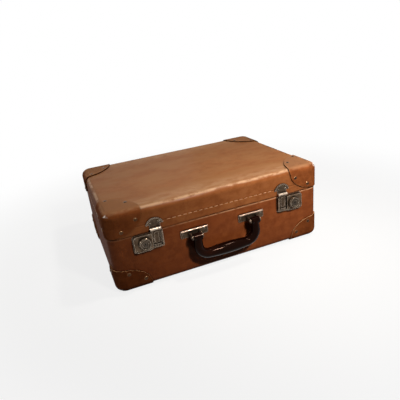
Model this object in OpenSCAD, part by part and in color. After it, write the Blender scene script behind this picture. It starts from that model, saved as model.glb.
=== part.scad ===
// Vintage hard suitcase: a deep base and a shallow lid of covered board, riveted leather corner caps,
// two slide locks with hasps, a hanging handle and two butt hinges.
// Lengths are in millimetres. The front is -Y and +Z is up. The origin is in the middle of the footprint,
// on the surface that the case stands on.

/* [Case] */
// Outside width of the boards
case_w = 400; // [360:1:520]
// Outside depth of the boards
case_d = 286; // [240:1:400]
// Height of the base board, from its underside to the seam
base_h = 99; // [92:1:140]
// Height of the lid board, from the seam to its top
lid_h = 46; // [45:1:90]
// Thickness of the boards
board_t = 3; // [2.5:0.1:4]
// Rounding of the upright corners, seen from above
corner_r = 17; // [14:0.5:18]
// Rounding of the top and bottom edges
edge_r = 11; // [7:0.5:12]
// Open line between the base and the lid
seam_gap = 0.6; // [0.4:0.1:1]

/* [Inside] */
// Thickness of the hoops inside the rims
hoop_t = 4.5; // [3:0.5:6]
// Depth of the base hoop below the seam
hoop_drop = 22; // [16:1:30]
// Height of the base hoop's lip above the seam
lip_h = 8; // [4:0.5:9]
// Height of the lid hoop
lid_hoop_h = 10; // [6:1:14]
// Thickness of the linings
lining_t = 0.8; // [0.6:0.1:1.5]

/* [Corner caps] */
// Thickness of a cap
cap_t = 2; // [1.4:0.1:3]
// Reach of a cap along the front or the back
cap_reach_x = 61; // [54:1:70]
// Reach of a cap along an end
cap_reach_y = 68; // [62:1:85]
// Reach of a lid cap down the upright corner
lid_cap_reach = 43.5; // [38:0.5:44]
// Reach of a base cap up the upright corner
base_cap_reach = 42; // [32:0.5:50]
// Fullness of the lid caps' upright lobes: 2 is an ellipse, more is squarer
lid_lobe = 2.4; // [2:0.1:3.5]
// Fullness of the base caps' upright lobes
base_lobe = 2.3; // [1.8:0.1:3.5]
// Fullness of the lobes that lie on the top and under the bottom
flat_lobe = 1.8; // [1.6:0.1:3]

/* [Rivets] */
// Shank diameter of a cap rivet
rivet_d = 3; // [2:0.2:3.4]
// Head diameter of a cap rivet
rivet_head_d = 6.4; // [5:0.2:7]
// Shank diameter of a small rivet, on the metal fittings
pin_rivet_d = 2.2; // [1.6:0.1:2.4]
// Head diameter of a small rivet
pin_rivet_head_d = 3.8; // [3:0.1:4]
// Distance of a cap rivet from the rim of its lobe
rivet_inset = 7; // [5.5:0.1:9]

/* [Locks] */
// Distance along the front from a lid cap to the half-round hasp plate
lock_gap = 3; // [1:0.5:12]
// Width of the hasp flap
flap_w = 14; // [12:0.5:18]
// Length of the hasp flap below the seam
flap_drop = 25; // [24:0.5:27]
// Distance from the hasp to the knob
knob_x = 21.5; // [20.5:0.5:24]
// Distance from the seam down to the knob
knob_drop = 16; // [15.5:0.5:17]
// Diameter of the knob
knob_d = 22; // [16:0.5:22.5]
// Travel of the knob, from released to latched
knob_travel = 4.5; // [4:0.1:5]
// Diameter of the key plug
plug_d = 10; // [8:0.5:11]
// Depth of a lock, from the board to its face
lock_depth = 5.6; // [5.6:0.1:7]

/* [Handle] */
// Distance between the middles of the two handle arms
handle_span = 110; // [90:1:130]
// Distance from the pivot down to the middle of the grip
handle_drop = 37; // [34:1:48]
// Distance of the pivot from the board
handle_off = 15; // [13:0.5:20]
// Distance from the seam down to the pivot
pivot_drop = 25; // [20:1:30]
// Diameter of the grip in its middle
grip_d = 20.4; // [18:0.2:22]
// Diameter of the bends
bend_d = 17.2; // [14.4:0.2:17.6]
// Length of a handle bracket
bracket_w = 50; // [46:1:56]
// Height of a handle bracket
bracket_h = 14; // [12:0.5:18]
// Height of a bracket's middle above the pivot
bracket_up = 3; // [0:0.5:4]

/* [Hinges] */
// Distance along the back from a corner cap to a hinge
hinge_gap = 6; // [2:0.5:40]
// Width of a hinge
hinge_w = 40; // [32:1:50]
// Height of one hinge leaf
leaf_h = 17; // [15:0.5:20]
// Width of the lid leaf's knuckle
hinge_knuckle_w = 14; // [10:0.5:18]

/* [Hidden] */
$fn = 48;

// Colours
board_brown = [0.55, 0.33, 0.19];
cap_brown = [0.50, 0.28, 0.15];
rivet_brown = [0.34, 0.21, 0.13];
wood_tan = [0.70, 0.55, 0.36];
lining_cream = [0.80, 0.72, 0.58];
old_nickel = [0.47, 0.46, 0.40];
dark_steel = [0.30, 0.29, 0.27];
handle_black = [0.13, 0.07, 0.05];

// Fits
glue_gap = 0.05;
hole_gap = 0.05;
press_gap = 0.02;
run_gap = 0.08;
plug_gap = 0.06;
slide_gap = 0.3;
free_gap = 0.4;
// How far a cutting shape runs past what it cuts
cut = 1;

// Levels and faces of the case
sheet_t = 1.2;
hinge_off = 3.4;
hinge_r = 2.8;
hinge_reach = hinge_off + hinge_r;
handle_reach = handle_off + grip_d / 2;
case_y = (handle_reach - hinge_reach) / 2;
front_y = case_y - case_d / 2;
back_y = case_y + case_d / 2;
base_z = cap_t;
seam_z = base_z + base_h;
top_z = seam_z + lid_h;

// Hoops and linings
lip_inset = 0.8;
lid_hoop_gap = 2;
lid_hoop_z = seam_z + lip_h + lid_hoop_gap;
lid_hoop_top = lid_hoop_z + lid_hoop_h;
lining_gap = 0.5;

// Rivets of the caps: where they sit along the rim of a lobe, in degrees from its long side
upright_turns = [25, 68];
flat_turns = [34, 72];

function upright_reach(in_lid) = in_lid ? lid_cap_reach : base_cap_reach;
function upright_lobe(in_lid) = in_lid ? lid_lobe : base_lobe;

rivet_head_h = 1.2;
sunk_h = 0.9;
pin_rivet_head_h = 0.7;

// Lock pieces, measured from the hasp's middle at the seam
lock_top = -0.6;
lock_rim = 1.2;
lock_corner_r = 1.5;
knob_corner_r = 4;
pocket_gap = 1.3;
pocket_w = flap_w + 2 * pocket_gap;
border_w = 2.2;
block_from = pocket_w / 2 + border_w;
block_margin = 6.8;
block_to = knob_x + knob_d / 2 + block_margin;
hasp_half_low = -flap_drop - pocket_gap - border_w - lock_rim;
knob_half_drop = 2;
knob_half_low = hasp_half_low - knob_half_drop;
lock_face_t = 1;
bolt_h = 6;
bolt_from = pocket_w / 2 + lock_rim;
bolt_tail = 7;
bolt_to = knob_x + bolt_tail;
bolt_low = sheet_t + slide_gap;
bolt_high = lock_depth - lock_face_t - slide_gap;
bolt_lip_h = 10;
bolt_lip_l = 5;
bolt_lip_t = 0.9;
cavity_h = 13;
cavity_end = 3;
cavity_to = bolt_to + cavity_end;
shank_r = 2.8;
flap_low = sheet_t + free_gap;
flap_t = 1.4;
knob_low = lock_depth + pin_rivet_head_h + slide_gap;
knob_h = 4.4;
knob_side_h = 2.4;
knob_bevel = 1.3;
knob_rim_w = 2.6;
knob_dish = 0.9;
knob_dish_run = 0.6;
shank_seat = 0.5;
plug_floor = 1;
plug_sink = 0.4;
keyhole_d = 2.8;
keyhole_up = 1;
keyhole_slot_w = 1.5;
keyhole_slot_l = 4;
keyhole_deep = 2;
spring_l = 15;
spring_t = 0.5;
spring_w = bolt_high - bolt_lip_t - slide_gap - bolt_low;
spring_end = 2;
spring_gap = 0.1;
lock_rivet_inset = 2.6;
lock_rivet_edge = 2.2;
lock_rivet_spots = [
    for (x = [block_from + lock_rivet_inset, block_to - lock_rivet_inset])
        for (z = [lock_top - lock_rim - lock_rivet_edge, knob_half_low + lock_rim + lock_rivet_edge])
            [x, z]
];

// Hasp hinge
hasp_axis_up = 4.2;
hasp_axis_off = 3.4;
hasp_knuckle_r = 2.7;
hasp_pin_r = 1.2;
hasp_neck_w = 10;
hasp_hinge_w = 18.4;
hasp_plate_w = 30;
hasp_plate_h = 11.4;
hasp_plate_up = 12;
hasp_plate_r = (hasp_plate_w * hasp_plate_w / 4 + hasp_plate_h * hasp_plate_h) / (2 * hasp_plate_h);
hasp_plate_mid = hasp_plate_up + hasp_plate_h - hasp_plate_r;
hasp_plate_sink = 0.5;
hasp_rim_w = 1.8;
hasp_rim_h = 0.7;
hasp_rivet_x = 7.5;
hasp_rivet_up = 13;
hasp_rivet_spots = [for (side = [-1, 1]) [side * hasp_rivet_x, hasp_rivet_up]];
hasp_x = case_w / 2 - cap_reach_x - lock_gap - hasp_plate_w / 2;

// Hasp flap
flap_rise = 0.6;
flap_corner_r = 2;
notch_gap = 0.5;
panel_side = 3.5;
panel_top = 2;
panel_foot = 4;
panel_corner_r = 1.5;
panel_h = 0.4;
thumb_side = 1.5;
thumb_w = 2;
thumb_h = 2;
thumb_corner_r = 0.9;

// Handle
arm_r = 7;
eye_r = 6.6;
eye_w = 15;
bend_r = bend_d / 2;
bend_path_r = 20;
handle_pin_r = 2;
ear_t = 2;
ear_r = 4.5;
bracket_t = 1.6;
bracket_corner_r = 1.5;
bracket_roll_r = 1.8;
bracket_roll_out = 0.3;
bracket_rivet_inset = 5;
bracket_rivet_x = bracket_w / 2 - bracket_rivet_inset;
pin_head_t = 1;
pin_head_over = 1;

// Hinges
hinge_pin_r = 1.3;
leaf_clear = hinge_r + free_gap;
leaf_corner_r = 2;
leaf_web = 3;
hinge_rivet_inset = 6.5;
hinge_rivet_x = hinge_w / 2 - hinge_rivet_inset;
hinge_rivet_up = leaf_h - hinge_rivet_inset;
hinge_rivet_spots = [for (part = [-1, 0, 1]) [part * hinge_rivet_x, hinge_rivet_up]];
hinge_x = case_w / 2 - cap_reach_x - hinge_gap - hinge_w / 2;

// Placing

// Puts a piece at one corner of the case: its axes run inward from the end, the front or back, and the
// top or bottom.
module at_corner(side, end, in_lid) {
    translate([side * case_w / 2, case_y + end * case_d / 2, in_lid ? top_z : base_z])
        mirror([side > 0 ? 1 : 0, 0, 0])
            mirror([0, end > 0 ? 1 : 0, 0])
                mirror([0, 0, in_lid ? 1 : 0])
                    children();
}

module at_four_corners(in_lid) {
    for (side = [-1, 1], end = [-1, 1])
        at_corner(side, end, in_lid) children();
}

// Puts a piece on the front: its axes are right, up and outward.
module on_front(x, z) {
    translate([x, front_y, z])
        rotate([90, 0, 0])
            children();
}

// Puts a lock piece on the front at the seam, with the knob toward the end of the case.
module at_lock(side) {
    on_front(side * hasp_x, seam_z)
        mirror([side < 0 ? 1 : 0, 0, 0])
            children();
}

// Puts a piece on the back at the hinge line: its axes are sideways, up and outward.
module at_hinge(side) {
    translate([side * hinge_x, back_y, seam_z + seam_gap / 2])
        rotate([90, 0, 180])
            children();
}

module at_bracket(side) {
    on_front(side * handle_span / 2, seam_z - pivot_drop)
        children();
}

// Lays a cylinder along the first axis, centred at a height and an offset.
module rod(r, from, to, up, off) {
    translate([from, up, off])
        rotate([0, 90, 0])
            cylinder(r = r, h = to - from);
}

// Shared shapes

// A rectangle between two corners, with rounded corners.
module round_rect(x1, y1, x2, y2, r) {
    translate([x1 + r, y1]) square([x2 - x1 - 2 * r, y2 - y1]);
    translate([x1, y1 + r]) square([x2 - x1, y2 - y1 - 2 * r]);
    for (x = [x1 + r, x2 - r], y = [y1 + r, y2 - r])
        translate([x, y]) circle(r);
}

// The case seen from above, grown by an offset.
module plan(grow) {
    translate([0, case_y])
        round_rect(
            -case_w / 2 - grow, -case_d / 2 - grow, case_w / 2 + grow, case_d / 2 + grow, corner_r + grow
        );
}

// Section through one upright wall and its rounded edge, from the corner's own axis outward.
module wall_block(grow, depth) {
    translate([0, -grow]) square([corner_r - edge_r, depth + grow]);
    translate([0, edge_r]) square([corner_r + grow, depth - edge_r]);
    translate([corner_r - edge_r, edge_r])
        intersection() {
            circle(edge_r + grow);
            translate([0, -edge_r - grow]) square(edge_r + grow);
        }
}

module wall_section(outer, inner, depth) {
    difference() {
        wall_block(outer, depth);
        wall_block(inner, depth + cut);
    }
}

// A skin over one corner of the case: a turned corner, two straight runs and a flat panel.
module corner_skin(outer, inner, reach_x, reach_y, depth) {
    translate([corner_r, corner_r, 0])
        rotate_extrude(angle = 90, start = 180)
            wall_section(outer, inner, depth);
    translate([reach_x, corner_r, 0])
        rotate([90, 0, -90])
            linear_extrude(reach_x - corner_r)
                wall_section(outer, inner, depth);
    translate([corner_r, corner_r, 0])
        rotate([90, 0, 180])
            linear_extrude(reach_y - corner_r)
                wall_section(outer, inner, depth);
    translate([corner_r, corner_r, -outer])
        cube([reach_x - corner_r, reach_y - corner_r, outer - inner]);
}

module tray(outer, inner, depth, in_lid) {
    at_four_corners(in_lid)
        corner_skin(outer, inner, case_w / 2, case_d / 2, depth);
}

module rivet(shank_d, shank_l, head_d, head_h) {
    dome_r = (head_d * head_d / 4 + head_h * head_h) / (2 * head_h);
    rotate_extrude()
        intersection() {
            translate([0, head_h - dome_r]) circle(dome_r);
            square([head_d / 2, head_h]);
        }
    translate([0, 0, -shank_l]) cylinder(d = shank_d, h = shank_l);
}

module pin_rivet(grip) {
    rivet(pin_rivet_d, grip, pin_rivet_head_d, pin_rivet_head_h);
}

// A point of a lobe's rounded outline: 2 is an ellipse, more is squarer.
function lobe_point(reach_a, reach_b, fullness, turn) =
    [reach_a * pow(cos(turn), 2 / fullness), reach_b * pow(sin(turn), 2 / fullness)];

function rivet_spots(reach_a, reach_b, fullness, turns) = [
    for (turn = turns) lobe_point(reach_a - rivet_inset, reach_b - rivet_inset, fullness, turn)
];

// Turns a piece to stand on each rivet spot of a cap's upright faces.
module at_upright_rivets(in_lid) {
    reach_z = upright_reach(in_lid);
    fullness = upright_lobe(in_lid);
    for (spot = rivet_spots(cap_reach_x, reach_z, fullness, upright_turns))
        translate([spot[0], -cap_t, spot[1]])
            rotate([90, 0, 0]) children();
    for (spot = rivet_spots(cap_reach_y, reach_z, fullness, upright_turns))
        translate([-cap_t, spot[0], spot[1]])
            rotate([0, -90, 0]) children();
}

// Turns a piece to stand on each rivet spot of a cap's flat face.
module at_flat_rivets() {
    for (spot = rivet_spots(cap_reach_x, cap_reach_y, flat_lobe, flat_turns))
        translate([spot[0], spot[1], -cap_t])
            rotate([180, 0, 0]) children();
}

module cap_rivet_hole() {
    translate([0, 0, -cap_t - board_t - cut])
        cylinder(d = rivet_d + 2 * hole_gap, h = cap_t + board_t + 2 * cut);
}

module cap_rivet_holes(in_lid) {
    at_upright_rivets(in_lid) cap_rivet_hole();
    at_flat_rivets() cap_rivet_hole();
}

// Shells, hoops and linings

module base_shell() {
    color(board_brown)
        difference() {
            tray(0, -board_t, base_h, false);
            at_four_corners(false) cap_rivet_holes(false);
            for (side = [-1, 1]) {
                at_lock(side) lock_rivet_holes(-board_t - cut, cut);
                at_bracket(side) bracket_rivet_holes(-board_t - cut, cut);
                at_hinge(side) leaf_rivet_holes(-1, -board_t - cut, cut);
            }
        }
}

module lid_shell() {
    color(board_brown)
        difference() {
            tray(0, -board_t, lid_h - seam_gap, true);
            at_four_corners(true) cap_rivet_holes(true);
            for (side = [-1, 1]) {
                at_lock(side) hasp_rivet_holes(-board_t - cut, cut);
                at_hinge(side) leaf_rivet_holes(1, -board_t - cut, cut);
            }
        }
}

// A hoop inside the boards, with a narrower lip on top where lip is over 0.
module hoop(from_z, to_z, lip) {
    outer = -board_t - glue_gap;
    inner = -board_t - hoop_t;
    difference() {
        union() {
            translate([0, 0, from_z])
                linear_extrude(to_z - from_z) plan(outer);
            if (lip > 0)
                translate([0, 0, from_z])
                    linear_extrude(to_z - from_z + lip) plan(outer - lip_inset);
        }
        translate([0, 0, from_z - cut])
            linear_extrude(to_z - from_z + lip + 2 * cut) plan(inner);
    }
}

module base_hoop() {
    color(wood_tan)
        hoop(seam_z - hoop_drop, seam_z, lip_h);
}

module lid_hoop() {
    color(wood_tan)
        hoop(lid_hoop_z, lid_hoop_top, 0);
}

module base_lining() {
    outer = -board_t - glue_gap;
    color(lining_cream)
        tray(outer, outer - lining_t, base_h - hoop_drop - lining_gap, false);
}

module lid_lining() {
    outer = -board_t - glue_gap;
    color(lining_cream)
        tray(outer, outer - lining_t, top_z - lid_hoop_top - lining_gap, true);
}

// Corner caps

// Quarter outline of a cap's lobe on one face, by the formula of a rounded square.
module lobe(reach_a, reach_b, fullness) {
    over = cap_t + cut;
    steps = 14;
    curve = [for (step = [0:steps]) lobe_point(reach_a, reach_b, fullness, 90 * step / steps)];
    polygon(concat([[-over, -over], [reach_a, -over]], curve, [[-over, reach_b]]));
}

// One cap, the skin of a corner cut back to a lobe on each of its three faces.
module corner_cap(in_lid) {
    over = cap_t + cut;
    reach_z = upright_reach(in_lid);
    fullness = upright_lobe(in_lid);
    difference() {
        intersection() {
            corner_skin(cap_t, glue_gap, cap_reach_x + over, cap_reach_y + over, reach_z + over);
            translate([0, cap_reach_y + over, 0])
                rotate([90, 0, 0])
                    linear_extrude(cap_reach_y + 2 * over)
                        lobe(cap_reach_x, reach_z, fullness);
            translate([-over, 0, 0])
                rotate([90, 0, 90])
                    linear_extrude(cap_reach_x + 2 * over)
                        lobe(cap_reach_y, reach_z, fullness);
            translate([0, 0, -over])
                linear_extrude(reach_z + 2 * over)
                    lobe(cap_reach_x, cap_reach_y, flat_lobe);
        }
        cap_rivet_holes(in_lid);
    }
}

module base_cap(side, end) {
    color(cap_brown)
        at_corner(side, end, false)
            difference() {
                corner_cap(false);
                at_flat_rivets()
                    translate([0, 0, -sunk_h - hole_gap])
                        cylinder(d = rivet_head_d + 2 * hole_gap, h = sunk_h + hole_gap + cut);
            }
}

module lid_cap(side, end) {
    color(cap_brown)
        at_corner(side, end, true)
            corner_cap(true);
}

module cap_rivet() {
    rivet(rivet_d, cap_t + board_t - hole_gap, rivet_head_d, rivet_head_h);
}

// A rivet with a flat head sunk into the cap, so that the case stands level.
module sunk_rivet() {
    translate([0, 0, -sunk_h])
        cylinder(d = rivet_head_d, h = sunk_h - hole_gap);
    translate([0, 0, -cap_t - board_t + hole_gap])
        cylinder(d = rivet_d, h = cap_t + board_t - sunk_h);
}

module base_cap_rivets() {
    color(rivet_brown)
        at_four_corners(false) {
            at_upright_rivets(false) cap_rivet();
            at_flat_rivets() sunk_rivet();
        }
}

module lid_cap_rivets() {
    color(rivet_brown)
        at_four_corners(true) {
            at_upright_rivets(true) cap_rivet();
            at_flat_rivets() cap_rivet();
        }
}

// Locks

// Outline of a lock: the hasp's half and the knob's half, which hangs a little lower.
module lock_outline(inset) {
    round_rect(
        -pocket_w / 2 - border_w - lock_rim + inset, hasp_half_low + inset,
        block_from + lock_rim, lock_top - inset, lock_corner_r
    );
    round_rect(
        block_from - border_w, knob_half_low + inset,
        block_to + lock_rim - inset, lock_top - inset, knob_corner_r
    );
}

module lock_rivet_holes(from, to) {
    for (spot = lock_rivet_spots)
        translate([spot[0], spot[1], from])
            cylinder(d = pin_rivet_d + 2 * hole_gap, h = to - from);
}

module lock_plate(side) {
    color(old_nickel)
        at_lock(side)
            difference() {
                linear_extrude(sheet_t) lock_outline(0);
                lock_rivet_holes(-cut, sheet_t + cut);
            }
}

// A slot with round ends for the knob's shank.
module shank_slot() {
    slot_r = shank_r + free_gap;
    for (shift = [0, -knob_travel])
        translate([knob_x + shift, -knob_drop]) circle(slot_r);
    translate([knob_x - knob_travel, -knob_drop - slot_r]) square([knob_travel, 2 * slot_r]);
}

module lock_cover(side) {
    color(old_nickel)
        at_lock(side)
            difference() {
                translate([0, 0, sheet_t]) linear_extrude(lock_depth - sheet_t) lock_outline(lock_rim);
                // pocket of the hasp, open at the top
                translate([-pocket_w / 2, -flap_drop - pocket_gap, 0])
                    cube([pocket_w, flap_drop + pocket_gap + cut, lock_depth + cut]);
                // room of the bolt and its way into the pocket
                translate([block_from, -knob_drop - cavity_h / 2, 0])
                    cube([cavity_to - block_from, cavity_h, lock_depth - lock_face_t]);
                translate([0, -knob_drop - bolt_lip_h / 2 - free_gap, 0])
                    cube([block_from + cut, bolt_lip_h + 2 * free_gap, lock_depth - lock_face_t]);
                linear_extrude(lock_depth + cut) shank_slot();
                lock_rivet_holes(0, lock_depth + cut);
            }
}

module lock_bolt(side) {
    color(dark_steel)
        at_lock(side)
            difference() {
                union() {
                    translate([bolt_from, -knob_drop - bolt_h / 2, bolt_low])
                        cube([bolt_to - bolt_from, bolt_h, bolt_high - bolt_low]);
                    translate([bolt_from, -knob_drop - bolt_lip_h / 2, bolt_high - bolt_lip_t])
                        cube([bolt_lip_l, bolt_lip_h, bolt_lip_t]);
                }
                translate([knob_x, -knob_drop, 0]) cylinder(r = shank_r + press_gap, h = lock_depth);
            }
}

// Turned knob: a bevelled rim, a sunk face and a bore for the key plug, on a shank.
module lock_knob(side) {
    rim_r = knob_d / 2;
    face_r = rim_r - knob_rim_w;
    face_h = knob_h - knob_dish;
    bore_r = plug_d / 2 + plug_gap;
    color(old_nickel)
        at_lock(side)
            translate([knob_x, -knob_drop, knob_low]) {
                rotate_extrude()
                    polygon([
                        [0, 0], [rim_r, 0], [rim_r, knob_side_h], [rim_r - knob_bevel, knob_h],
                        [face_r, knob_h], [face_r - knob_dish_run, face_h], [bore_r, face_h],
                        [bore_r, plug_floor], [0, plug_floor],
                    ]);
                translate([0, 0, bolt_low - knob_low])
                    cylinder(r = shank_r, h = knob_low - bolt_low + shank_seat);
            }
}

module key_plug(side) {
    plug_low = plug_floor + plug_gap;
    plug_h = knob_h - plug_sink - plug_low;
    color(dark_steel)
        at_lock(side)
            translate([knob_x, -knob_drop, knob_low + plug_low])
                difference() {
                    cylinder(d = plug_d, h = plug_h);
                    translate([0, keyhole_up, plug_h - keyhole_deep]) {
                        cylinder(d = keyhole_d, h = keyhole_deep + cut);
                        translate([-keyhole_slot_w / 2, -keyhole_slot_l, 0])
                            cube([keyhole_slot_w, keyhole_slot_l, keyhole_deep + cut]);
                    }
                }
}

// A bowed leaf under the bolt: the part of a ring that its chord cuts off.
module detent_spring(side) {
    foot_y = -knob_drop - cavity_h / 2 + spring_gap;
    rise = cavity_h / 2 - bolt_h / 2 - 3 * spring_gap;
    bow_r = (spring_l * spring_l / 4 + rise * rise) / (2 * rise);
    color(dark_steel)
        at_lock(side)
            translate([bolt_to - spring_l / 2 - spring_end, foot_y, bolt_low])
                linear_extrude(spring_w)
                    intersection() {
                        translate([0, rise - bow_r])
                            difference() {
                                circle(bow_r);
                                circle(bow_r - spring_t);
                            }
                        translate([-spring_l / 2, 0]) square([spring_l, rise + cut]);
                    }
}

module lock_rivets() {
    color(old_nickel)
        for (side = [-1, 1], spot = lock_rivet_spots)
            at_lock(side)
                translate([spot[0], spot[1], lock_depth])
                    pin_rivet(lock_depth + board_t - hole_gap);
}

// Hasps

module hasp_rivet_holes(from, to) {
    for (spot = hasp_rivet_spots)
        translate([spot[0], spot[1], from])
            cylinder(d = pin_rivet_d + 2 * hole_gap, h = to - from);
}

// Outline of a hasp plate's half-round part.
module half_round() {
    intersection() {
        translate([0, hasp_plate_mid]) circle(hasp_plate_r);
        translate([-hasp_plate_w / 2, hasp_plate_up]) square([hasp_plate_w, hasp_plate_h]);
    }
}

// Half-round plate with a raised rim, on a neck with two knuckles at its foot.
module hasp_plate(side) {
    foot = hasp_axis_up + hasp_knuckle_r - hasp_plate_sink;
    knuckle_from = hasp_neck_w / 2 + slide_gap;
    knuckle_to = hasp_hinge_w / 2;
    root_h = hasp_knuckle_r + hasp_plate_sink;
    color(old_nickel)
        at_lock(side)
            difference() {
                union() {
                    linear_extrude(sheet_t) {
                        half_round();
                        translate([-hasp_hinge_w / 2, foot])
                            square([hasp_hinge_w, hasp_plate_up - foot]);
                    }
                    linear_extrude(sheet_t + hasp_rim_h)
                        difference() {
                            half_round();
                            translate([0, hasp_plate_mid]) circle(hasp_plate_r - hasp_rim_w);
                        }
                    for (end = [0, 1])
                        mirror([end, 0, 0]) {
                            rod(hasp_knuckle_r, knuckle_from, knuckle_to, hasp_axis_up, hasp_axis_off);
                            translate([knuckle_from, hasp_axis_up, 0])
                                cube([knuckle_to - knuckle_from, root_h, sheet_t]);
                        }
                }
                rod(hasp_pin_r + press_gap, -hasp_hinge_w, hasp_hinge_w, hasp_axis_up, hasp_axis_off);
                hasp_rivet_holes(-cut, sheet_t + cut);
            }
}

// Flap with a knuckle at its neck, a notch for the bolt, a raised panel and a thumb lip.
module hasp(side) {
    notch_h = bolt_h + 2 * free_gap;
    notch_to = bolt_from - knob_travel - notch_gap;
    panel_x = flap_w / 2 - panel_side;
    thumb_x = flap_w / 2 - thumb_side;
    color(old_nickel)
        at_lock(side)
            difference() {
                union() {
                    rod(hasp_knuckle_r, -hasp_neck_w / 2, hasp_neck_w / 2, hasp_axis_up, hasp_axis_off);
                    translate([-hasp_neck_w / 2, 0, flap_low])
                        cube([hasp_neck_w, hasp_axis_up, flap_t]);
                    translate([0, 0, flap_low])
                        linear_extrude(flap_t)
                            round_rect(-flap_w / 2, -flap_drop, flap_w / 2, flap_rise, flap_corner_r);
                    translate([0, 0, flap_low])
                        linear_extrude(flap_t + panel_h)
                            round_rect(-panel_x, panel_foot - flap_drop, panel_x, -panel_top, panel_corner_r);
                    translate([0, 0, flap_low])
                        linear_extrude(flap_t + thumb_h)
                            round_rect(-thumb_x, -flap_drop, thumb_x, thumb_w - flap_drop, thumb_corner_r);
                }
                translate([notch_to, -knob_drop - notch_h / 2, 0])
                    cube([flap_w, notch_h, lock_depth]);
                rod(hasp_pin_r + run_gap, -hasp_neck_w, hasp_neck_w, hasp_axis_up, hasp_axis_off);
            }
}

module hasp_pin(side) {
    color(dark_steel)
        at_lock(side)
            rod(hasp_pin_r, -hasp_hinge_w / 2, hasp_hinge_w / 2, hasp_axis_up, hasp_axis_off);
}

module hasp_rivets() {
    color(dark_steel)
        for (side = [-1, 1], spot = hasp_rivet_spots)
            at_lock(side)
                translate([spot[0], spot[1], sheet_t])
                    pin_rivet(sheet_t + board_t - hole_gap);
}

// Handle

// U-shaped moulding: two eyes, two tapering arms, two bends and a swelling grip, hanging from its pivot.
module handle() {
    arm_l = handle_drop - bend_path_r;
    half_grip = handle_span / 2 - bend_path_r;
    swell = grip_d / 2 - bend_r;
    barrel_r = (half_grip * half_grip + swell * swell) / (2 * swell);
    color(handle_black)
        translate([0, front_y - handle_off, seam_z - pivot_drop])
            difference() {
                union() {
                    for (end = [0, 1])
                        mirror([end, 0, 0]) {
                            translate([handle_span / 2 - eye_w / 2, 0, 0])
                                rotate([0, 90, 0]) cylinder(r = eye_r, h = eye_w);
                            translate([handle_span / 2, 0, -arm_l])
                                cylinder(r1 = bend_r, r2 = arm_r, h = arm_l);
                            translate([half_grip, 0, -arm_l])
                                rotate([90, 0, 0])
                                    rotate_extrude(angle = 90, start = 270)
                                        translate([bend_path_r, 0]) circle(bend_r);
                        }
                    translate([0, 0, -handle_drop])
                        rotate([0, 90, 0])
                            rotate_extrude()
                                intersection() {
                                    translate([grip_d / 2 - barrel_r, 0]) circle(barrel_r, $fn = 256);
                                    translate([0, -half_grip]) square([grip_d, 2 * half_grip]);
                                }
                }
                translate([-handle_span, 0, 0])
                    rotate([0, 90, 0]) cylinder(r = handle_pin_r + run_gap, h = 2 * handle_span);
            }
}

module bracket_rivet_holes(from, to) {
    for (end = [-1, 1])
        translate([end * bracket_rivet_x, bracket_up, from])
            cylinder(d = pin_rivet_d + 2 * hole_gap, h = to - from);
}

// Plate with a rolled top edge and two ears that hold the handle's pin.
module handle_bracket(side) {
    ear_from = eye_w / 2 + free_gap;
    bracket_top = bracket_up + bracket_h / 2;
    roll_to = bracket_w / 2 - bracket_corner_r;
    color(old_nickel)
        at_bracket(side)
            difference() {
                union() {
                    linear_extrude(bracket_t)
                        round_rect(
                            -bracket_w / 2, bracket_up - bracket_h / 2,
                            bracket_w / 2, bracket_top, bracket_corner_r
                        );
                    rod(
                        bracket_roll_r, -roll_to, roll_to,
                        bracket_top - bracket_roll_r + bracket_roll_out, bracket_roll_r + bracket_roll_out
                    );
                    for (end = [0, 1])
                        mirror([end, 0, 0]) {
                            rod(ear_r, ear_from, ear_from + ear_t, 0, handle_off);
                            translate([ear_from, -ear_r, 0]) cube([ear_t, 2 * ear_r, handle_off]);
                        }
                }
                rod(handle_pin_r + press_gap, -eye_w, eye_w, 0, handle_off);
                bracket_rivet_holes(-cut, bracket_t + cut);
            }
}

module handle_pin(side) {
    reach = eye_w / 2 + free_gap + ear_t;
    color(dark_steel)
        at_bracket(side) {
            rod(handle_pin_r, -reach, reach, 0, handle_off);
            for (end = [0, 1])
                mirror([end, 0, 0])
                    rod(handle_pin_r + pin_head_over, reach, reach + pin_head_t, 0, handle_off);
        }
}

module handle_rivets() {
    color(dark_steel)
        for (side = [-1, 1], end = [-1, 1])
            at_bracket(side)
                translate([end * bracket_rivet_x, bracket_up, bracket_t])
                    pin_rivet(bracket_t + board_t - hole_gap);
}

// Hinges

module leaf_rivet_holes(up, from, to) {
    for (spot = hinge_rivet_spots)
        translate([spot[0], up * spot[1], from])
            cylinder(d = pin_rivet_d + 2 * hole_gap, h = to - from);
}

// One leaf: a plate, and knuckles over the given stretches of the pin.
module leaf(up, stretches, bore_gap) {
    mirror([0, up < 0 ? 1 : 0, 0])
        difference() {
            union() {
                linear_extrude(sheet_t)
                    round_rect(-hinge_w / 2, leaf_clear, hinge_w / 2, leaf_h, leaf_corner_r);
                for (stretch = stretches) {
                    rod(hinge_r, stretch[0], stretch[1], 0, hinge_off);
                    translate([stretch[0], 0, 0])
                        cube([stretch[1] - stretch[0], leaf_clear + leaf_web, sheet_t]);
                }
            }
            rod(hinge_pin_r + bore_gap, -hinge_w, hinge_w, 0, hinge_off);
            leaf_rivet_holes(1, -cut, sheet_t + cut);
        }
}

module hinge_base_leaf(side) {
    inner = hinge_knuckle_w / 2 + free_gap;
    color(old_nickel)
        at_hinge(side)
            leaf(-1, [[-hinge_w / 2, -inner], [inner, hinge_w / 2]], press_gap);
}

module hinge_lid_leaf(side) {
    color(old_nickel)
        at_hinge(side)
            leaf(1, [[-hinge_knuckle_w / 2, hinge_knuckle_w / 2]], run_gap);
}

module hinge_pin(side) {
    color(dark_steel)
        at_hinge(side)
            rod(hinge_pin_r, -hinge_w / 2, hinge_w / 2, 0, hinge_off);
}

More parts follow.
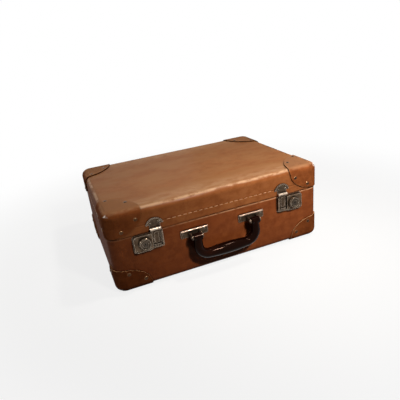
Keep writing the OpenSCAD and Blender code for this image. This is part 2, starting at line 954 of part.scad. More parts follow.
module leaf_rivets(up) {
    color(dark_steel)
        for (side = [-1, 1], spot = hinge_rivet_spots)
            at_hinge(side)
                translate([spot[0], up * spot[1], sheet_t])
                    pin_rivet(sheet_t + board_t - hole_gap);
}

// Nodes

base_shell();
base_hoop();
base_lining();
base_cap(-1, -1);  // base_cap_front_left
base_cap(1, -1);  // base_cap_front_right
base_cap(-1, 1);  // base_cap_back_left
base_cap(1, 1);  // base_cap_back_right
base_cap_rivets();
lid_shell();
lid_hoop();
lid_lining();
lid_cap(-1, -1);  // lid_cap_front_left
lid_cap(1, -1);  // lid_cap_front_right
lid_cap(-1, 1);  // lid_cap_back_left
lid_cap(1, 1);  // lid_cap_back_right
lid_cap_rivets();
lock_plate(-1);  // lock_plate_left
lock_plate(1);  // lock_plate_right
lock_cover(-1);  // lock_cover_left
lock_cover(1);  // lock_cover_right
lock_bolt(-1);  // lock_bolt_left
lock_bolt(1);  // lock_bolt_right
lock_knob(-1);  // lock_knob_left
lock_knob(1);  // lock_knob_right
key_plug(-1);  // key_plug_left
key_plug(1);  // key_plug_right
detent_spring(-1);  // detent_spring_left
detent_spring(1);  // detent_spring_right
lock_rivets();
hasp_plate(-1);  // hasp_plate_left
hasp_plate(1);  // hasp_plate_right
hasp(-1);  // hasp_left
hasp(1);  // hasp_right
hasp_pin(-1);  // hasp_pin_left
hasp_pin(1);  // hasp_pin_right
hasp_rivets();
handle();
handle_bracket(-1);  // handle_bracket_left
handle_bracket(1);  // handle_bracket_right
handle_pin(-1);  // handle_pin_left
handle_pin(1);  // handle_pin_right
handle_rivets();
hinge_base_leaf(-1);  // hinge_base_leaf_left
hinge_base_leaf(1);  // hinge_base_leaf_right
hinge_lid_leaf(-1);  // hinge_lid_leaf_left
hinge_lid_leaf(1);  // hinge_lid_leaf_right
hinge_pin(-1);  // hinge_pin_left
hinge_pin(1);  // hinge_pin_right
leaf_rivets(-1);  // hinge_base_rivets
leaf_rivets(1);  // hinge_lid_rivets
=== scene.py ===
"""Looks of the vintage suitcase: materials for the solids, stitches on the lid, floor, light and camera."""

import math

import bmesh
import bpy
from mathutils import Matrix, Vector


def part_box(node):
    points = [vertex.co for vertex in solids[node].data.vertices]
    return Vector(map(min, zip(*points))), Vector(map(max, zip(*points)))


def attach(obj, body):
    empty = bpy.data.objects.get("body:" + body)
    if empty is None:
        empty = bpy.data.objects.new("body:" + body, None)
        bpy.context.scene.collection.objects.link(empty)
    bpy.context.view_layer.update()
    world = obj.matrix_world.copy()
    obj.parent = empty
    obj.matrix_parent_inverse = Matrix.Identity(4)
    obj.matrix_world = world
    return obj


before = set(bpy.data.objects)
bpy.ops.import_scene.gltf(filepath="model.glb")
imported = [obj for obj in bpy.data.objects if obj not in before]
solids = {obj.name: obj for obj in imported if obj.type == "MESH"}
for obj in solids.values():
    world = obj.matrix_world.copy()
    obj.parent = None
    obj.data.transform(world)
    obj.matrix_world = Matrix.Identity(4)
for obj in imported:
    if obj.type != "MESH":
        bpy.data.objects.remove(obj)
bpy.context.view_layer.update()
SIDES = ("left", "right")
ENDS = ("front", "back")
MM = 0.001

# Levels and faces, read from the solids
base_low, base_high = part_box("base_shell")
lid_low, lid_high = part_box("lid_shell")
base_foot = base_low[2]
seam_z = base_high[2]
lid_foot = lid_low[2]
middle_y = (lid_low[1] + lid_high[1]) / 2

# Stitches: one thread each, partly sunk in the lid, in a row that stops short of the fittings.
# The tip is a share of the thread's radius, and the groove's reach is to either side of the row.
STITCH_UP = 13.5 * MM
STITCH_PITCH = 9.6 * MM
STITCH_LENGTH = 6.4 * MM
STITCH_R = 0.9 * MM
STITCH_SINK = 0.3 * MM
STITCH_CLEAR = 3 * MM
STITCH_RINGS = 9
STITCH_SPOKES = 8
STITCH_TIP = 0.05
GROOVE_REACH = 1.6 * MM
GROOVE_DEPTH = 0.7 * MM
stitch_z = lid_foot + STITCH_UP

# The rims of the caps' lobes follow this power, as in the part's source
LOBE_FULLNESS = 2.4

# Marks on the boards: how far in from the lid's edge its pale border of rubbing and painted light begins and
# is full, how high painted shade climbs up from the base's foot, how far from the seam the rim line (a
# painted highlight on the base, painted shade on the lid) begins and is full, and where along X it fades
# toward the dimmer left end
BORDER_FROM = 60 * MM
BORDER_TO = 8 * MM
FOOT_SHADE_RISE = 45 * MM
BASE_RIM_FROM = 3 * MM
BASE_RIM_TO = 1.6 * MM
LID_RIM_FROM = 2.2 * MM
LID_RIM_TO = 0.6 * MM
RIM_WEAK_X = -130 * MM
RIM_FULL_X = 20 * MM

# Cut edges of the caps, pale with painted light on the base and dark with stain and painted shade on the
# lid:
# a face is a cut edge where its plane passes within this reach of the case's middle,
# and the change is spread over the fade on either side of that
BASE_CUT_REACH = 60 * MM
LID_CUT_REACH = 20 * MM
CUT_FADE = 15 * MM

# Fittings: broken edges, and the parts of the metal that hands have rubbed bare
CAP_EDGE = 0.8 * MM
METAL_EDGE = 0.35 * MM
SHARP_ANGLE = math.radians(40)
ROLLED_EDGE = 2.5 * MM
KNUCKLE_WALL = 1.5 * MM
BARE_FADE = 0.5 * MM

# Leather tones: dark, middle and light, as linear red, green and blue. The base's tones are the lid's
# leather painted darker, as shade on the lower half of the case.
BASE_BOARD_SHADED_TONES = (0.15, 0.034, 0.009), (0.225, 0.056, 0.015), (0.265, 0.073, 0.021)
LID_BOARD_TONES = (0.195, 0.054, 0.015), (0.285, 0.09, 0.026), (0.335, 0.116, 0.037)
BASE_CAP_SHADED_TONES = (0.09, 0.02, 0.005), (0.165, 0.042, 0.011), (0.21, 0.059, 0.017)
LID_CAP_TONES = (0.12, 0.028, 0.007), (0.22, 0.06, 0.016), (0.275, 0.082, 0.024)

# Colours of worn leather, and of the light and shade painted on it
# Dark brown: grime in corners, and painted shade along the lid's rim and the lid caps' cut edges
GRIME_AND_SHADE = (0.03, 0.009, 0.004)
FADED_SHEEN_BOARD = (0.325, 0.147, 0.056)
FRAYED_AND_LIT_BOARD = (0.5, 0.29, 0.155)
EDGE_WEAR_AND_HIGHLIGHT_BOARD = (0.7, 0.44, 0.27)
PALE_RIM_HIGHLIGHT = (0.58, 0.28, 0.14)
FADED_SHEEN_CAP = (0.33, 0.165, 0.08)
EDGE_WEAR_AND_HIGHLIGHT_CAP = (0.5, 0.26, 0.13)
RUBBED_CAP = (0.48, 0.27, 0.12)
SCUFF_AND_GLINT_CAP = (0.8, 0.63, 0.48)
PALE_CUT_AND_LIGHT_CAP = (0.42, 0.21, 0.095)

# Colours of old plating
NICKEL_TARNISH = (0.035, 0.022, 0.013)
NICKEL_PLAIN = (0.1, 0.067, 0.043)
NICKEL_BARE = (0.85, 0.68, 0.53)

# Floor and world: what lights the object is dim, and what the camera and mirrors see is white
FLOOR_RADIUS = 8
FLOOR_SEGMENTS = 96
SHADOW_FROM = 300 * MM
SHADOW_TO = 800 * MM
SHADOW_WHITE = 0.8
WORLD_FILL = 0.04
WHITE = (1, 1, 1, 1)
PALE_FLOOR = (0.85, 0.85, 0.85, 1)
DULL_FLOOR = (0.06, 0.055, 0.05, 1)

# Camera: where it looks, from which side, from how far, and how it is tilted
LOOK_AT = Vector((3.0 * MM, middle_y - 27.96 * MM, base_foot + 80.37 * MM))
CAMERA_AZIMUTH = math.radians(-19.39)
CAMERA_ELEVATION = math.radians(22.71)
CAMERA_ROLL = math.radians(-6.69)
CAMERA_DISTANCE = 786 * MM
SENSOR_W = 36
CAMERA_LENS = 35.08

# Places of the sockets of a Mix node that mixes colours
MIX_FACTOR, MIX_FIRST, MIX_SECOND, MIX_RESULT = 0, 6, 7, 2


class Nodes:
    """A node tree, with a short call for each node used here."""

    def __init__(self, tree):
        self.tree = tree

    def put(self, socket, value):
        """Links another node's output to a socket, or sets a plain value on it."""
        if isinstance(value, bpy.types.NodeSocket):
            self.tree.links.new(value, socket)
        else:
            socket.default_value = value

    def node(self, kind, inputs, **settings):
        made = self.tree.nodes.new(kind)
        for name, value in settings.items():
            setattr(made, name, value)
        for name, value in inputs.items():
            self.put(made.inputs[name], value)
        return made

    def math(self, operation, first, second=0.0):
        return self.node("ShaderNodeMath", {0: first, 1: second}, operation=operation).outputs[0]

    def product(self, first, *others):
        for other in others:
            first = self.math("MULTIPLY", first, other)
        return first

    def step(self, value, low, high):
        """0 below low and 1 above high, or the other way round where high is the lower one."""
        inputs = {"Value": value, "From Min": low, "From Max": high}
        return self.node("ShaderNodeMapRange", inputs, interpolation_type="SMOOTHSTEP").outputs["Result"]

    def scaled(self, value, to_low, to_high):
        """A value between 0 and 1, brought into another range."""
        inputs = {"Value": value, "To Min": to_low, "To Max": to_high}
        return self.node("ShaderNodeMapRange", inputs).outputs["Result"]

    def axes(self, vector):
        return self.node("ShaderNodeSeparateXYZ", {"Vector": vector}).outputs

    def vector_math(self, operation, first, second=(0, 0, 0)):
        return self.node("ShaderNodeVectorMath", {0: first, 1: second}, operation=operation).outputs

    def showing_rays(self):
        """1 for the rays that show the surroundings: from the camera, mirrored or through glass."""
        path = self.node("ShaderNodeLightPath", {}).outputs
        direct = self.math("ADD", path["Is Camera Ray"], path["Is Glossy Ray"])
        return self.math("ADD", direct, path["Is Transmission Ray"])


class Paint(Nodes):
    """The nodes of one material. Textures lie in the solid's own coordinates, with scales per metre."""

    def __init__(self, name):
        self.material = bpy.data.materials.new(name)
        self.material.use_nodes = True
        super().__init__(self.material.node_tree)
        self.shader = self.tree.nodes["Principled BSDF"]
        coordinates = self.node("ShaderNodeTexCoord", {}).outputs
        self.place = coordinates["Object"]
        self.facing = coordinates["Normal"]

    def finish(self, **inputs):
        """Sets the shader's sockets, named with _ for each space, and gives the material."""
        for name, value in inputs.items():
            self.put(self.shader.inputs[name.replace("_", " ")], value)
        return self.material

    def stretched(self, x, y, z):
        return self.node("ShaderNodeMapping", {"Vector": self.place, "Scale": (x, y, z)}).outputs["Vector"]

    def noise(self, scale, detail, place=None):
        inputs = {"Vector": place or self.place, "Scale": scale, "Detail": detail, "Roughness": 0.6}
        return self.node("ShaderNodeTexNoise", inputs).outputs[0]

    def patches(self, scale, detail, low, high, place=None):
        return self.step(self.noise(scale, detail, place), low, high)

    def cells(self, scale):
        inputs = {"Vector": self.place, "Scale": scale}
        return self.node("ShaderNodeTexVoronoi", inputs, feature="F1").outputs["Distance"]

    def waves(self, scale, distortion, place):
        inputs = {"Vector": place, "Scale": scale, "Distortion": distortion, "Detail": 2.0}
        return self.node("ShaderNodeTexWave", inputs).outputs["Fac"]

    def mix(self, factor, first, second):
        made = self.node("ShaderNodeMix", {MIX_FACTOR: factor}, data_type="RGBA")
        for socket, colour in ((MIX_FIRST, first), (MIX_SECOND, second)):
            self.put(made.inputs[socket], (*colour, 1) if isinstance(colour, tuple) else colour)
        return made.outputs[MIX_RESULT]

    def over(self, colour, laid, mask, amount):
        """Lays one colour over another where the mask is 1, as strongly as the amount says."""
        return self.mix(self.product(mask, amount), colour, laid)

    def shade_and_dirt_in_crevices(self, distance):
        """Painted shade with the dirt that gathers there: 1 in corners and recesses that the AO node finds
        closed in, 0 in the open.
        """
        open_share, closed_share = 0.95, 0.45
        share = self.node("ShaderNodeAmbientOcclusion", {"Distance": distance}, samples=8).outputs["AO"]
        return self.step(share, open_share, closed_share)

    def rubbed_edges(self, radius):
        """1 along the outer edges of a piece, 0 on its faces."""
        same_way, turned = 0.97, 0.8
        rounded = self.node("ShaderNodeBevel", {"Radius": radius}, samples=6).outputs["Normal"]
        flat = self.node("ShaderNodeNewGeometry", {}).outputs["Normal"]
        agreement = self.vector_math("DOT_PRODUCT", rounded, flat)["Value"]
        return self.step(agreement, same_way, turned)

    def bump(self, height, distance, strength, under=None):
        inputs = {"Height": height, "Distance": distance, "Strength": strength}
        if under is not None:
            inputs["Normal"] = under
        return self.node("ShaderNodeBump", inputs).outputs["Normal"]


def leather_grain(paint):
    """Fine pebbled grain over creases, over slow waves of the board beneath."""
    slow = paint.bump(paint.noise(scale=45, detail=3), distance=1.2 * MM, strength=0.35)
    creases = paint.noise(scale=240, detail=6, place=paint.stretched(0.15, 0.3, 1))
    creased = paint.bump(creases, distance=0.5 * MM, strength=0.4, under=slow)
    return paint.bump(paint.cells(scale=1100), distance=0.35 * MM, strength=0.9, under=creased)


def varnish_waves(paint):
    """The old varnish follows the slow waves and the long creases, not the grain."""
    slow = paint.bump(paint.noise(scale=30, detail=3), distance=1.0 * MM, strength=0.3)
    creases = paint.noise(scale=150, detail=4, place=paint.stretched(0.4, 0.4, 1))
    return paint.bump(creases, distance=0.4 * MM, strength=0.5, under=slow)


def leather_colours(paint, dark, middle, light):
    """Slow stains, finer mottling and thin streaks."""
    stains = paint.patches(scale=9, detail=5, low=0.35, high=0.68)
    mottle = paint.patches(scale=70, detail=6, low=0.38, high=0.68)
    streaks = paint.patches(scale=110, detail=5, low=0.42, high=0.75, place=paint.stretched(0.1, 0.3, 1))
    colour = paint.mix(stains, middle, light)
    colour = paint.over(colour, dark, mottle, amount=0.55)
    return paint.over(colour, dark, streaks, amount=0.35)


def faces_up(paint):
    """1 on faces that look up, which fade in the light and are given a painted sheen of the light from
    above, 0 on upright ones.
    """
    return paint.step(paint.axes(paint.facing)[2], 0.7, 0.98)


def edge_wear_and_highlight(paint):
    """1 on the rounded top and bottom edges, broken up as rubbing does: worn leather, and a painted
    highlight along the edges.
    """
    tilt = paint.math("ABSOLUTE", paint.axes(paint.facing)[2])
    band = paint.product(paint.step(tilt, 0.5, 0.8), paint.step(tilt, 0.97, 0.86))
    breaks = paint.patches(scale=150, detail=6, low=0.4, high=0.6, place=paint.stretched(0.35, 0.35, 1))
    return paint.product(band, paint.scaled(breaks, 0.2, 1.0))


def top_border_wear_and_light(paint):
    """1 near the front and back of the case, where hands and shelves rub the lid, 0 toward its middle. The
    paler band laid there is rubbing and painted light together.
    """
    from_middle = paint.math("SUBTRACT", paint.axes(paint.place)[1], middle_y)
    half_depth = (lid_high[1] - lid_low[1]) / 2
    return paint.step(paint.math("ABSOLUTE", from_middle), half_depth - BORDER_FROM, half_depth - BORDER_TO)


def painted_rim_line(paint, start, full):
    """1 along a board's rim, between two levels, in patches that get weaker toward the dimmer left end. It
    carries the painted highlight on the base's rim and the painted shade on the lid's rim.
    """
    sideways, _, height = paint.axes(paint.place)
    patchy = paint.patches(scale=90, detail=4, low=0.25, high=0.55)
    lit_to_the_right = paint.scaled(paint.step(sideways, RIM_WEAK_X, RIM_FULL_X), 0.3, 1.0)
    return paint.product(paint.step(height, start, full), patchy, lit_to_the_right)


def stitch_groove(paint, level, under):
    """The leather is drawn in along the row of stitches."""
    from_row = paint.math("SUBTRACT", paint.axes(paint.place)[2], level)
    depth = paint.step(paint.math("ABSOLUTE", from_row), 0, GROOVE_REACH)
    return paint.bump(depth, GROOVE_DEPTH, strength=0.8, under=under)


def board_material(name, tones, rim, rim_colour, groove_level=None):
    """Leather cloth on board: pale from fading on top under a painted sheen, rubbed at its edges under a
    painted highlight, with a painted line at its rim and painted shade toward the foot.
    """
    paint = Paint(name)
    faded_and_sheen = faces_up(paint)
    blotches = paint.patches(scale=28, detail=6, low=0.35, high=0.65, place=paint.stretched(0.6, 1, 1))
    frays = paint.patches(scale=75, detail=6, low=0.35, high=0.65, place=paint.stretched(0.5, 1, 1))
    border = paint.product(faded_and_sheen, top_border_wear_and_light(paint))
    foot_shade = paint.step(paint.axes(paint.place)[2], base_foot + FOOT_SHADE_RISE, base_foot)
    wear_and_highlight = edge_wear_and_highlight(paint)
    colour = leather_colours(paint, *tones)
    # Paler tops: sun fading and a painted sheen of the light from above
    colour = paint.over(colour, FADED_SHEEN_BOARD, faded_and_sheen, paint.scaled(blotches, 0.4, 0.8))
    # Painted shade: the base grows darker toward its foot
    colour = paint.over(colour, tones[0], foot_shade, amount=0.35)
    # Paler band near the front and back of the top: rubbing, and painted light
    colour = paint.over(colour, FRAYED_AND_LIT_BOARD, border, paint.scaled(frays, 0.2, 0.6))
    # Pale line along the rounded edges: rubbed leather and a painted highlight
    colour = paint.over(colour, EDGE_WEAR_AND_HIGHLIGHT_BOARD, wear_and_highlight, amount=0.8)
    # Along the seam: a painted highlight on the base's rim, painted shade on the lid's rim, fading toward
    # the dimmer left end
    colour = paint.over(colour, rim_colour, painted_rim_line(paint, *rim), amount=0.85)
    # Painted shade, with grime, in the corners beside the caps and fittings
    colour = paint.over(colour, GRIME_AND_SHADE, paint.shade_and_dirt_in_crevices(6 * MM), amount=0.9)
    normal = leather_grain(paint)
    if groove_level is not None:
        normal = stitch_groove(paint, groove_level, normal)
    roughness = paint.scaled(paint.noise(scale=35, detail=5), 0.36, 0.52)
    return paint.finish(
        Base_Color=colour,
        Roughness=paint.math("SUBTRACT", roughness, paint.product(wear_and_highlight, 0.16)),
        Normal=normal,
        Specular_IOR_Level=0.0,
        Coat_Weight=0.08,
        Coat_Roughness=0.2,
        Coat_Normal=varnish_waves(paint),
    )


def cut_edges(paint, reach):
    """1 on the walls of a cap, which face the middle of the case, and partway round their rims."""
    from_middle = paint.vector_math("SUBTRACT", paint.place, (0, middle_y, seam_z))["Vector"]
    outward = paint.vector_math("DOT_PRODUCT", from_middle, paint.facing)["Value"]
    return paint.step(outward, reach + CUT_FADE, reach - CUT_FADE)


def rounded_corners(paint):
    """1 where three faces meet in a rounded corner, 0 elsewhere."""
    x, y, z = [paint.math("ABSOLUTE", axis) for axis in paint.axes(paint.facing)]
    least = paint.math("MINIMUM", paint.math("MINIMUM", x, y), z)
    return paint.step(least, 0.4, 0.5)


def cap_material(name, tones, cut_colour, cut_reach):
    """Moulded leather with scuffed, polished corners and a cut edge in a colour of its own. The pale
    scuffing also paints a glint on the corners, and the cut edge, top and rounded edges carry painted light
    and shade.
    """
    paint = Paint(name)
    wear_and_highlight = edge_wear_and_highlight(paint)
    corners = rounded_corners(paint)
    scuffs_and_glint = paint.product(corners, paint.patches(scale=160, detail=5, low=0.4, high=0.6))
    colour = leather_colours(paint, *tones)
    # Paler tops: sun fading and a painted sheen of the light from above
    colour = paint.over(colour, FADED_SHEEN_CAP, faces_up(paint), amount=0.7)
    # Pale line along the rounded edges: rubbed leather and a painted highlight
    colour = paint.over(colour, EDGE_WEAR_AND_HIGHLIGHT_CAP, wear_and_highlight, amount=0.45)
    # Painted shade, with grime, where the caps meet the board and round their rivets
    colour = paint.over(colour, GRIME_AND_SHADE, paint.shade_and_dirt_in_crevices(4 * MM), amount=0.85)
    colour = paint.over(colour, RUBBED_CAP, paint.rubbed_edges(1.2 * MM), amount=0.35)
    # Pale scuffing on the rounded corners: rubbed leather and a painted glint
    colour = paint.over(colour, SCUFF_AND_GLINT_CAP, scuffs_and_glint, amount=0.8)
    # Cut edges: pale with painted light on the base's caps, dark with stain and painted shade on the lid's
    # caps
    colour = paint.over(colour, cut_colour, cut_edges(paint, cut_reach), amount=0.9)
    roughness = paint.scaled(paint.noise(scale=40, detail=5), 0.28, 0.42)
    return paint.finish(
        Base_Color=colour,
        Roughness=paint.math("SUBTRACT", roughness, paint.product(wear_and_highlight, 0.12)),
        Normal=leather_grain(paint),
        Specular_IOR_Level=0.0,
        Coat_Weight=paint.scaled(corners, 0.015, 0.9),
        Coat_Roughness=0.1,
        Coat_Normal=varnish_waves(paint),
    )


def metal_material(name, tarnish, plain, bare, roughness, edge_width=1.0 * MM, bare_zone=None):
    """Old plated metal: tarnished in patches, darker in hollows with tarnish and painted shade, bare along
    its edges and between two levels.
    """
    paint = Paint(name)
    patches = paint.patches(scale=110, detail=8, low=0.3, high=0.7)
    specks = paint.patches(scale=1300, detail=3, low=0.55, high=0.75)
    rubbed = paint.rubbed_edges(edge_width)
    if bare_zone is not None:
        low, high = bare_zone
        height = paint.axes(paint.place)[2]
        above = paint.step(height, low - BARE_FADE, low)
        below = paint.step(height, high + BARE_FADE, high)
        handled = paint.product(above, below, paint.scaled(patches, 0.25, 0.8))
        rubbed = paint.math("MAXIMUM", rubbed, handled)
    dirt = tuple(part * 0.3 for part in tarnish)
    colour = paint.mix(patches, tarnish, plain)
    colour = paint.over(colour, tarnish, specks, amount=0.5)
    colour = paint.over(colour, bare, rubbed, amount=0.9)
    # Painted shade in hollows, with the tarnish and dirt that gather there
    colour = paint.over(colour, dirt, paint.shade_and_dirt_in_crevices(3 * MM), amount=0.9)
    dents = paint.bump(paint.noise(scale=120, detail=3), distance=0.4 * MM, strength=0.2)
    scratches = paint.noise(scale=420, detail=4, place=paint.stretched(0.08, 1, 1))
    return paint.finish(
        Base_Color=colour,
        Roughness=paint.scaled(paint.noise(scale=300, detail=4), *roughness),
        Normal=paint.bump(scratches, distance=0.15 * MM, strength=0.25, under=dents),
        Metallic=paint.scaled(rubbed, 0.7, 1.0),
        Specular_IOR_Level=0.1,
    )


def handle_material():
    """Polished moulding with a faint marbling and hairline scratches."""
    paint = Paint("handle_moulding")
    deep, marbled = (0.006, 0.0011, 0.0004), (0.016, 0.0031, 0.001)
    marble = paint.patches(scale=55, detail=5, low=0.45, high=0.75, place=paint.stretched(0.4, 1, 1))
    scratches = paint.noise(scale=700, detail=3, place=paint.stretched(1, 0.1, 0.1))
    return paint.finish(
        Base_Color=paint.mix(marble, deep, marbled),
        Roughness=paint.scaled(paint.noise(scale=90, detail=4), 0.06, 0.12),
        Normal=paint.bump(scratches, distance=0.05 * MM, strength=0.04),
        Specular_IOR_Level=0.05,
        Specular_Tint=(1, 0.42, 0.22, 1),
        Coat_Weight=0.04,
        Coat_Roughness=0.09,
    )


def wood_material():
    """Thin bent wood with its grain along the hoop."""
    paint = Paint("hoop_wood")
    late, early, dark = (0.36, 0.2, 0.09), (0.52, 0.33, 0.17), (0.25, 0.13, 0.055)
    rings = paint.waves(scale=60, distortion=2.0, place=paint.stretched(0.04, 0.04, 1))
    fibres = paint.noise(scale=500, detail=5, place=paint.stretched(0.06, 0.06, 1))
    colour = paint.mix(rings, late, early)
    colour = paint.over(colour, dark, paint.step(fibres, 0.5, 0.75), amount=0.4)
    return paint.finish(
        Base_Color=colour,
        Roughness=paint.scaled(fibres, 0.5, 0.75),
        Normal=paint.bump(fibres, distance=0.2 * MM, strength=0.4),
    )


def turns(paint, along, pitch):
    """A wave between -1 and 1 that repeats once for each pitch."""
    return paint.math("SINE", paint.product(along, 2 * math.pi / pitch))


def lining_material():
    """Plain woven cotton, yellowed in slow stains, darker in its corners with soiling and painted shade."""
    paint = Paint("lining_cloth")
    yellowed, stained = (0.56, 0.45, 0.29), (0.42, 0.31, 0.18)
    between_threads, soiled_and_shaded = (0.3, 0.21, 0.12), (0.2, 0.13, 0.07)
    x, y, z = [turns(paint, axis, pitch=1.1 * MM) for axis in paint.axes(paint.place)]
    weave = paint.product(paint.math("ADD", x, z), paint.math("ADD", y, z))
    stains = paint.patches(scale=7, detail=5, low=0.35, high=0.7)
    colour = paint.mix(stains, yellowed, stained)
    colour = paint.mix(paint.scaled(weave, 0.0, 0.12), colour, between_threads)
    # Painted shade, with soiling, in the corners of the box
    colour = paint.over(colour, soiled_and_shaded, paint.shade_and_dirt_in_crevices(12 * MM), amount=0.6)
    return paint.finish(
        Base_Color=colour,
        Roughness=paint.scaled(paint.noise(scale=200, detail=3), 0.8, 0.95),
        Normal=paint.bump(weave, distance=0.12 * MM, strength=0.5),
        Specular_IOR_Level=0.15,
    )


def thread_material():
    """Waxed linen thread, twisted, dirtier in places."""
    paint = Paint("stitch_thread")
    waxed, dirty = (0.62, 0.31, 0.155), (0.42, 0.18, 0.08)
    x, y, z = paint.axes(paint.place)
    along = paint.math("ADD", paint.math("ADD", x, y), z)
    twist = turns(paint, along, pitch=0.9 * MM)
    dirt = paint.patches(scale=60, detail=4, low=0.4, high=0.7)
    return paint.finish(
        Base_Color=paint.mix(dirt, waxed, dirty),
        Roughness=paint.scaled(paint.noise(scale=400, detail=3), 0.55, 0.75),
        Normal=paint.bump(twist, distance=0.15 * MM, strength=0.6),
        Specular_IOR_Level=0.1,
    )


def floor_material():
    """Pale floor that keeps the shadow, and turns white away from the object."""
    paint = Paint("floor")
    paint.finish(Base_Color=PALE_FLOOR, Roughness=0.9, Specular_IOR_Level=0.0)
    white = paint.node("ShaderNodeEmission", {"Color": WHITE, "Strength": 1.0}).outputs[0]
    dull = paint.node("ShaderNodeBsdfDiffuse", {"Color": DULL_FLOOR}).outputs[0]
    far = paint.step(paint.vector_math("LENGTH", paint.place)["Value"], SHADOW_FROM, SHADOW_TO)
    share = paint.scaled(far, SHADOW_WHITE, 1.0)
    pale = paint.node("ShaderNodeMixShader", {0: share, 1: paint.shader.outputs[0], 2: white}).outputs[0]
    shown = paint.node("ShaderNodeMixShader", {0: paint.showing_rays(), 1: dull, 2: pale}).outputs[0]
    paint.put(paint.tree.nodes["Material Output"].inputs["Surface"], shown)
    return paint.material


def set_material(material, *names):
    for name in names:
        slots = solids[name].data.materials
        slots.clear()
        slots.append(material)


def soften_edges(width, *names):
    """Breaks the sharp edges of solids a little, as handling does."""
    for name in names:
        bevel = solids[name].modifiers.new("broken_edges", "BEVEL")
        bevel.width = width
        bevel.segments = 2
        bevel.limit_method = "ANGLE"
        bevel.angle_limit = SHARP_ANGLE
        bevel.harden_normals = True


def dress_leather():
    """The boards and the corner caps. The base has a pale painted highlight at its rim; the lid has painted
    shade there, and its caps dark cut edges of stain and painted shade.
    """
    base_rim = seam_z - BASE_RIM_FROM, seam_z - BASE_RIM_TO
    lid_rim = lid_foot + LID_RIM_FROM, lid_foot + LID_RIM_TO
    base_caps = [f"base_cap_{end}_{side}" for end in ENDS for side in SIDES]
    lid_caps = [f"lid_cap_{end}_{side}" for end in ENDS for side in SIDES]
    set_material(board_material("base_board", BASE_BOARD_SHADED_TONES, base_rim, PALE_RIM_HIGHLIGHT), "base_shell")
    set_material(board_material("lid_board", LID_BOARD_TONES, lid_rim, GRIME_AND_SHADE, stitch_z), "lid_shell")
    set_material(cap_material("base_cap_leather", BASE_CAP_SHADED_TONES, PALE_CUT_AND_LIGHT_CAP, BASE_CUT_REACH), *base_caps)
    set_material(cap_material("lid_cap_leather", LID_CAP_TONES, GRIME_AND_SHADE, LID_CUT_REACH), *lid_caps)
    soften_edges(CAP_EDGE, *base_caps, *lid_caps)


def dress_inside():
    set_material(wood_material(), "base_hoop", "lid_hoop")
    set_material(lining_material(), "base_lining", "lid_lining")


def dress_fittings():
    """The metal, by how much it is handled, and the handle."""
    bracket_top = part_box("handle_bracket_right")[1][2]
    pin_low, pin_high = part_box("hasp_pin_right")
    plate_nickel = metal_material(
        "old_nickel", tarnish=(0.055, 0.034, 0.02), plain=(0.15, 0.1, 0.063), bare=NICKEL_BARE,
        roughness=(0.24, 0.36),
    )
    # The hasps and their plates get a darker copy of the lock plates' nickel: tarnish, and painted shade
    hasp_nickel = metal_material(
        "dull_nickel", tarnish=NICKEL_TARNISH, plain=NICKEL_PLAIN, bare=NICKEL_BARE,
        roughness=(0.26, 0.4), bare_zone=(pin_low[2] - KNUCKLE_WALL, pin_high[2] + KNUCKLE_WALL),
    )
    knob_nickel = metal_material(
        "handled_nickel", tarnish=NICKEL_TARNISH, plain=NICKEL_PLAIN, bare=(0.85, 0.73, 0.58),
        roughness=(0.14, 0.24),
    )
    bracket_nickel = metal_material(
        "bracket_nickel", tarnish=NICKEL_TARNISH, plain=(0.11, 0.073, 0.047), bare=(0.6, 0.43, 0.33),
        roughness=(0.26, 0.38), bare_zone=(bracket_top - ROLLED_EDGE, bracket_top),
    )
    steel = metal_material(
        "dark_steel", tarnish=(0.03, 0.021, 0.015), plain=(0.085, 0.064, 0.046), bare=(0.3, 0.25, 0.2),
        roughness=(0.32, 0.5), edge_width=0.7 * MM,
    )
    brass = metal_material(
        "rivet_metal", tarnish=(0.03, 0.013, 0.006), plain=(0.08, 0.039, 0.018), bare=(0.26, 0.15, 0.075),
        roughness=(0.28, 0.45), edge_width=0.7 * MM,
    )
    plated = {
        "lock_plate": plate_nickel,
        "lock_cover": plate_nickel,
        "hinge_base_leaf": plate_nickel,
        "hinge_lid_leaf": plate_nickel,
        "hasp_plate": hasp_nickel,
        "hasp": hasp_nickel,
        "lock_knob": knob_nickel,
        "handle_bracket": bracket_nickel,
    }
    plain = ["lock_bolt", "key_plug", "detent_spring", "hasp_pin", "handle_pin", "hinge_pin"]
    rivets = ["lock_rivets", "hasp_rivets", "handle_rivets", "hinge_base_rivets", "hinge_lid_rivets"]
    for side in SIDES:
        for name, material in plated.items():
            set_material(material, f"{name}_{side}")
            soften_edges(METAL_EDGE, f"{name}_{side}")
        set_material(steel, *[f"{name}_{side}" for name in plain])
    set_material(steel, *rivets)
    set_material(brass, "base_cap_rivets", "lid_cap_rivets")
    set_material(handle_material(), "handle")


def add_object(name, mesh, material):
    """Puts a finished mesh into the scene as an object of one material."""
    data = bpy.data.meshes.new(name)
    mesh.to_mesh(data)
    mesh.free()
    data.materials.append(material)
    made = bpy.data.objects.new(name, data)
    bpy.context.scene.collection.objects.link(made)
    return made


